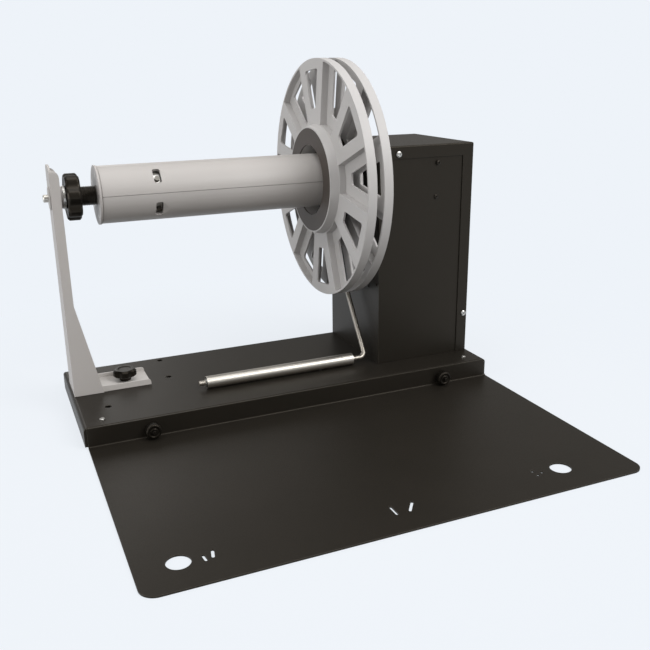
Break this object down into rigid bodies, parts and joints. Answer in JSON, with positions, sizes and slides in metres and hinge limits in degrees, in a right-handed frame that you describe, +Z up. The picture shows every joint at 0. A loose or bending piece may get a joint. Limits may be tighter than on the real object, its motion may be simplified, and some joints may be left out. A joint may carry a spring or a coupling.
{
  "type": "label rewinder",
  "caption": "Bench label rewinder: driven spindle with an expanding core chuck and spoked side flange, sliding outboard support, hanging tension arm with roller, and front alignment plate.",
  "frame": {"origin": "middle of the whole machine's footprint, on the table", "axes": "X runs along the spindle from the outboard support to the drive housing, Y runs from the alignment plate to the back, Z is up"},
  "size_m": [0.5904, 0.6334, 0.4591],
  "materials": {
    "black_powder_coat": "fine matt texture powder coat, near black",
    "grey_powder_coat": "smooth satin light warm grey powder coat",
    "grey_coated_aluminium": "extruded aluminium under a smooth satin light grey powder coat",
    "grey_moulded": "moulded light grey plastic, satin",
    "dark_pad": "dark grey smooth pad",
    "black_plastic": "black moulded plastic, satin",
    "bright_zinc": "bright zinc plated steel",
    "polished_steel": "bright drawn steel",
    "machined_aluminium": "turned aluminium",
    "black_oxide": "black oxide screws",
    "rubber": "black rubber",
    "bronze": "sintered bronze",
    "board_green": "circuit board laminate"
  },
  "bodies": {
    "base": {"base_tray": "black_powder_coat", "rubber_feet": "rubber", "foot_screws": "bright_zinc", "alignment_plate": "black_powder_coat", "plate_studs": "bright_zinc", "housing_frame": "black_powder_coat", "housing_cover": "black_powder_coat", "cover_screws": "bright_zinc", "panel_screws": "black_oxide", "house_bolts": "bright_zinc", "house_nuts": "bright_zinc", "gear_plate": "machined_aluminium", "spindle_bearing": "bright_zinc", "shaft_end_bearing": "bright_zinc", "motor_body": "bright_zinc", "motor_gearbox": "bright_zinc", "control_board": "board_green", "arm_bush": "bronze", "arm_sensor": "black_plastic", "power_inlet": "black_plastic", "switch_frame": "black_plastic"},
    "motor_rotor": {"motor_pinion": "black_plastic"},
    "spindle": {"spindle_shaft": "polished_steel", "flange_hub": "black_oxide", "front_flange": "grey_moulded", "rear_flange": "grey_moulded", "flange_screws": "bright_zinc", "hub_pad": "dark_pad", "chuck_end_plate": "grey_powder_coat", "tie_rods": "polished_steel", "guide_disc": "machined_aluminium", "guide_posts": "polished_steel", "drive_gear": "black_plastic"},
    "knob": {"expansion_sleeve": "polished_steel", "expansion_knob": "black_plastic"},
    "left_cone": {"cone_left": "machined_aluminium"},
    "right_cone": {"cone_right": "machined_aluminium"},
    "support": {"support_arm": "grey_powder_coat", "support_foot": "grey_powder_coat", "end_bearing": "grey_powder_coat", "bearing_nut": "bright_zinc", "clamp_nut": "bright_zinc"},
    "clamp": {"clamp_knob": "black_plastic"},
    "tension_arm": {"pivot_shaft": "polished_steel", "arm_collar": "black_oxide", "tension_rod": "polished_steel", "rod_clips": "bright_zinc"},
    "roller": {"roller_tube": "polished_steel", "roller_bushes": "black_plastic"},
    "thumb_left": {"thumb_nut_left": "black_plastic"},
    "thumb_right": {"thumb_nut_right": "black_plastic"},
    "rocker": {"switch_rocker": "black_plastic"},
    "shell_1_body": {"shell_1": "grey_coated_aluminium"},
    "shell_2_body": {"shell_2": "grey_coated_aluminium"},
    "shell_3_body": {"shell_3": "grey_coated_aluminium"},
    "shell_4_body": {"shell_4": "grey_coated_aluminium"},
    "shell_5_body": {"shell_5": "grey_coated_aluminium"}
  },
  "joints": [
    {"name": "spindle_spin", "type": "hinge", "parent": "base", "child": "spindle", "pos_m": [0.00975, 0.14925, 0.2916], "axis": [1, 0, 0], "continuous": true},
    {"name": "motor_spin", "type": "hinge", "parent": "base", "child": "motor_rotor", "pos_m": [0.16225, 0.14925, 0.2346], "axis": [1, 0, 0], "continuous": true},
    {"name": "expansion_turn", "type": "hinge", "parent": "spindle", "child": "knob", "pos_m": [-0.25025, 0.14925, 0.2916], "axis": [1, 0, 0], "range_deg": [0, 1800]},
    {"name": "left_cone_slide", "type": "slide", "parent": "spindle", "child": "left_cone", "axis": [1, 0, 0], "range_m": [0, 0.015]},
    {"name": "right_cone_slide", "type": "slide", "parent": "spindle", "child": "right_cone", "axis": [-1, 0, 0], "range_m": [0, 0.015]},
    {"name": "support_slide", "type": "slide", "parent": "base", "child": "support", "axis": [-1, 0, 0], "range_m": [0, 0.045]},
    {"name": "clamp_turn", "type": "hinge", "parent": "support", "child": "clamp", "pos_m": [-0.21375, 0.14925, 0.035], "axis": [0, 0, 1], "range_deg": [0, 720]},
    {"name": "arm_swing", "type": "hinge", "parent": "base", "child": "tension_arm", "pos_m": [0.12575, 0.19125, 0.199], "axis": [-1, 0, 0], "range_deg": [0, 50]},
    {"name": "roller_spin", "type": "hinge", "parent": "tension_arm", "child": "roller", "pos_m": [-0.00625, 0.07565, 0.0363], "axis": [1, 0, 0], "continuous": true},
    {"name": "thumb_nut_left_turn", "type": "hinge", "parent": "base", "child": "thumb_left", "pos_m": [-0.20675, 0.00425, 0.0135], "axis": [0, -1, 0], "range_deg": [0, 720]},
    {"name": "thumb_nut_right_turn", "type": "hinge", "parent": "base", "child": "thumb_right", "pos_m": [0.21725, 0.00425, 0.0135], "axis": [0, -1, 0], "range_deg": [0, 720]},
    {"name": "rocker_tip", "type": "hinge", "parent": "base", "child": "rocker", "pos_m": [0.23819, 0.22145, 0.0653], "axis": [1, 0, 0], "range_deg": [-14, 0]},
    {"name": "shell_1_slide", "type": "slide", "parent": "spindle", "child": "shell_1_body", "axis": [0, -0.7771, 0.6293], "range_m": [0, 0.0105]},
    {"name": "shell_2_slide", "type": "slide", "parent": "spindle", "child": "shell_2_body", "axis": [0, 0.3584, 0.9336], "range_m": [0, 0.0105]},
    {"name": "shell_3_slide", "type": "slide", "parent": "spindle", "child": "shell_3_body", "axis": [0, 0.9986, -0.0523], "range_m": [0, 0.0105]},
    {"name": "shell_4_slide", "type": "slide", "parent": "spindle", "child": "shell_4_body", "axis": [0, 0.2588, -0.9659], "range_m": [0, 0.0105]},
    {"name": "shell_5_slide", "type": "slide", "parent": "spindle", "child": "shell_5_body", "axis": [0, -0.8387, -0.5446], "range_m": [0, 0.0105]}
  ],
  "couplings": [
    {"joint": "motor_spin", "follows": "spindle_spin", "ratio": -2.8},
    {"joint": "left_cone_slide", "follows": "expansion_turn", "m_per_rad": 0.00047746},
    {"joint": "right_cone_slide", "follows": "expansion_turn", "m_per_rad": 0.00047746},
    {"joint": "shell_1_slide", "follows": "expansion_turn", "m_per_rad": 0.00033423},
    {"joint": "shell_2_slide", "follows": "expansion_turn", "m_per_rad": 0.00033423},
    {"joint": "shell_3_slide", "follows": "expansion_turn", "m_per_rad": 0.00033423},
    {"joint": "shell_4_slide", "follows": "expansion_turn", "m_per_rad": 0.00033423},
    {"joint": "shell_5_slide", "follows": "expansion_turn", "m_per_rad": 0.00033423}
  ]
}
